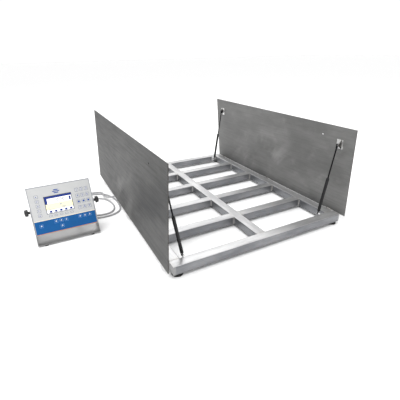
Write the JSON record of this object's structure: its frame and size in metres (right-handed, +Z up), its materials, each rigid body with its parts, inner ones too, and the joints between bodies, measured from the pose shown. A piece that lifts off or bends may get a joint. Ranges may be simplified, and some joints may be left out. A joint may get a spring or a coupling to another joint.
{
  "type": "platform shipping scale",
  "caption": "Low-profile floor scale with hinged deck plates held open by gas springs over a welded tube frame, and a tilting desk terminal on its own cable.",
  "frame": {"origin": "bottom centre of the box around the frame, its open deck plates and the terminal, without the cable; z = 0 is the floor", "axes": "+X across the platform towards the right deck plate, +Y along the hinge lines towards the back, +Z up"},
  "size_m": [2.3458, 2.034, 0.7879],
  "materials": {
    "steel": "satin, blasted",
    "deck": "satin, rolled",
    "plated": "smooth, plated",
    "black_steel": "satin",
    "rubber": "matte",
    "black_plastic": "satin",
    "membrane": "fine texture",
    "display": "gloss",
    "grey_plastic": "matte",
    "board": "satin",
    "cable": "satin"
  },
  "bodies": {
    "frame": {"front_rail": "steel", "back_rail": "steel", "left_rail": "steel", "centre_rail": "steel", "right_rail": "steel", "cross_tube_left_1": "steel", "cross_tube_left_2": "steel", "cross_tube_left_3": "steel", "cross_tube_left_4": "steel", "cross_tube_right_1": "steel", "cross_tube_right_2": "steel", "cross_tube_right_3": "steel", "cross_tube_right_4": "steel", "load_cell_front_left": "plated", "load_cell_front_right": "plated", "load_cell_back_left": "plated", "load_cell_back_right": "plated", "hinge_lug_left_1": "steel", "hinge_lug_left_2": "steel", "hinge_lug_left_3": "steel", "hinge_lug_right_1": "steel", "hinge_lug_right_2": "steel", "hinge_lug_right_3": "steel", "spring_stud_front_left": "steel", "spring_stud_front_right": "steel", "spring_stud_back_left": "steel", "spring_stud_back_right": "steel", "junction_box": "grey_plastic", "frame_gland": "grey_plastic", "terminal_stand": "steel", "stand_foot_front_left": "rubber", "stand_foot_front_right": "rubber", "stand_foot_back_left": "rubber", "stand_foot_back_right": "rubber", "cable": "cable"},
    "deck_left": {"deck_plate_left": "deck"},
    "deck_right": {"deck_plate_right": "deck"},
    "spring_front_left": {"spring_cylinder_front_left": "black_steel"},
    "rod_front_left": {"spring_rod_front_left": "black_steel"},
    "spring_front_right": {"spring_cylinder_front_right": "black_steel"},
    "rod_front_right": {"spring_rod_front_right": "black_steel"},
    "spring_back_left": {"spring_cylinder_back_left": "black_steel"},
    "rod_back_left": {"spring_rod_back_left": "black_steel"},
    "spring_back_right": {"spring_cylinder_back_right": "black_steel"},
    "rod_back_right": {"spring_rod_back_right": "black_steel"},
    "terminal": {"terminal_housing": "steel", "terminal_panel": "membrane", "terminal_display": "display", "main_board": "board", "terminal_gland": "grey_plastic"},
    "knob_left": {"clamp_knob_left": "black_plastic"},
    "knob_right": {"clamp_knob_right": "black_plastic"},
    "foot_front_left": {"foot_stem_front_left": "plated", "foot_pad_front_left": "rubber"},
    "foot_front_right": {"foot_stem_front_right": "plated", "foot_pad_front_right": "rubber"},
    "foot_back_left": {"foot_stem_back_left": "plated", "foot_pad_back_left": "rubber"},
    "foot_back_right": {"foot_stem_back_right": "plated", "foot_pad_back_right": "rubber"}
  },
  "joints": [
    {"name": "deck_left_hinge", "type": "hinge", "parent": "frame", "child": "deck_left", "pos_m": [-0.38138, 0, 0.058], "axis": [0, 1, 0], "range_deg": [0, 86.6], "stiffness_Nm_per_rad": 100, "springref_deg": -22.92},
    {"name": "deck_right_hinge", "type": "hinge", "parent": "frame", "child": "deck_right", "pos_m": [1.13662, 0, 0.058], "axis": [0, -1, 0], "range_deg": [0, 86.6], "stiffness_Nm_per_rad": 100, "springref_deg": -22.92},
    {"name": "spring_front_left_pivot", "type": "hinge", "parent": "frame", "child": "spring_front_left", "pos_m": [-0.25438, -0.88, 0.074], "axis": [0, 1, 0], "range_deg": [0, 101]},
    {"name": "rod_front_left_slide", "type": "slide", "parent": "spring_front_left", "child": "rod_front_left", "axis": [-0.1656, 0, 0.9862], "range_m": [-0.119, 0]},
    {"name": "spring_front_right_pivot", "type": "hinge", "parent": "frame", "child": "spring_front_right", "pos_m": [1.00962, -0.88, 0.074], "axis": [0, -1, 0], "range_deg": [0, 101]},
    {"name": "rod_front_right_slide", "type": "slide", "parent": "spring_front_right", "child": "rod_front_right", "axis": [0.1656, 0, 0.9862], "range_m": [-0.119, 0]},
    {"name": "spring_back_left_pivot", "type": "hinge", "parent": "frame", "child": "spring_back_left", "pos_m": [-0.25438, 0.88, 0.074], "axis": [0, 1, 0], "range_deg": [0, 101]},
    {"name": "rod_back_left_slide", "type": "slide", "parent": "spring_back_left", "child": "rod_back_left", "axis": [-0.1656, 0, 0.9862], "range_m": [-0.119, 0]},
    {"name": "spring_back_right_pivot", "type": "hinge", "parent": "frame", "child": "spring_back_right", "pos_m": [1.00962, 0.88, 0.074], "axis": [0, -1, 0], "range_deg": [0, 101]},
    {"name": "rod_back_right_slide", "type": "slide", "parent": "spring_back_right", "child": "rod_back_right", "axis": [0.1656, 0, 0.9862], "range_m": [-0.119, 0]},
    {"name": "terminal_tilt", "type": "hinge", "parent": "frame", "child": "terminal", "pos_m": [-0.90038, -0.053, 0.247], "axis": [1, 0, 0], "range_deg": [-20, 20]},
    {"name": "knob_left_turn", "type": "hinge", "parent": "terminal", "child": "knob_left", "pos_m": [-1.15038, -0.053, 0.247], "axis": [-1, 0, 0], "continuous": true},
    {"name": "knob_right_turn", "type": "hinge", "parent": "terminal", "child": "knob_right", "pos_m": [-0.65038, -0.053, 0.247], "axis": [1, 0, 0], "continuous": true},
    {"name": "foot_front_left_turn", "type": "hinge", "parent": "frame", "child": "foot_front_left", "pos_m": [-0.33038, -0.96, 0], "axis": [0, 0, 1], "continuous": true},
    {"name": "foot_front_right_turn", "type": "hinge", "parent": "frame", "child": "foot_front_right", "pos_m": [1.08562, -0.96, 0], "axis": [0, 0, 1], "continuous": true},
    {"name": "foot_back_left_turn", "type": "hinge", "parent": "frame", "child": "foot_back_left", "pos_m": [-0.33038, 0.96, 0], "axis": [0, 0, 1], "continuous": true},
    {"name": "foot_back_right_turn", "type": "hinge", "parent": "frame", "child": "foot_back_right", "pos_m": [1.08562, 0.96, 0], "axis": [0, 0, 1], "continuous": true}
  ],
  "couplings": [
    {"joint": "spring_front_left_pivot", "follows": "deck_left_hinge", "ratio": 1.1647},
    {"joint": "rod_front_left_slide", "follows": "deck_left_hinge", "m_per_rad": -0.078219},
    {"joint": "spring_front_right_pivot", "follows": "deck_right_hinge", "ratio": 1.1647},
    {"joint": "rod_front_right_slide", "follows": "deck_right_hinge", "m_per_rad": -0.078219},
    {"joint": "spring_back_left_pivot", "follows": "deck_left_hinge", "ratio": 1.1647},
    {"joint": "rod_back_left_slide", "follows": "deck_left_hinge", "m_per_rad": -0.078219},
    {"joint": "spring_back_right_pivot", "follows": "deck_right_hinge", "ratio": 1.1647},
    {"joint": "rod_back_right_slide", "follows": "deck_right_hinge", "m_per_rad": -0.078219}
  ]
}
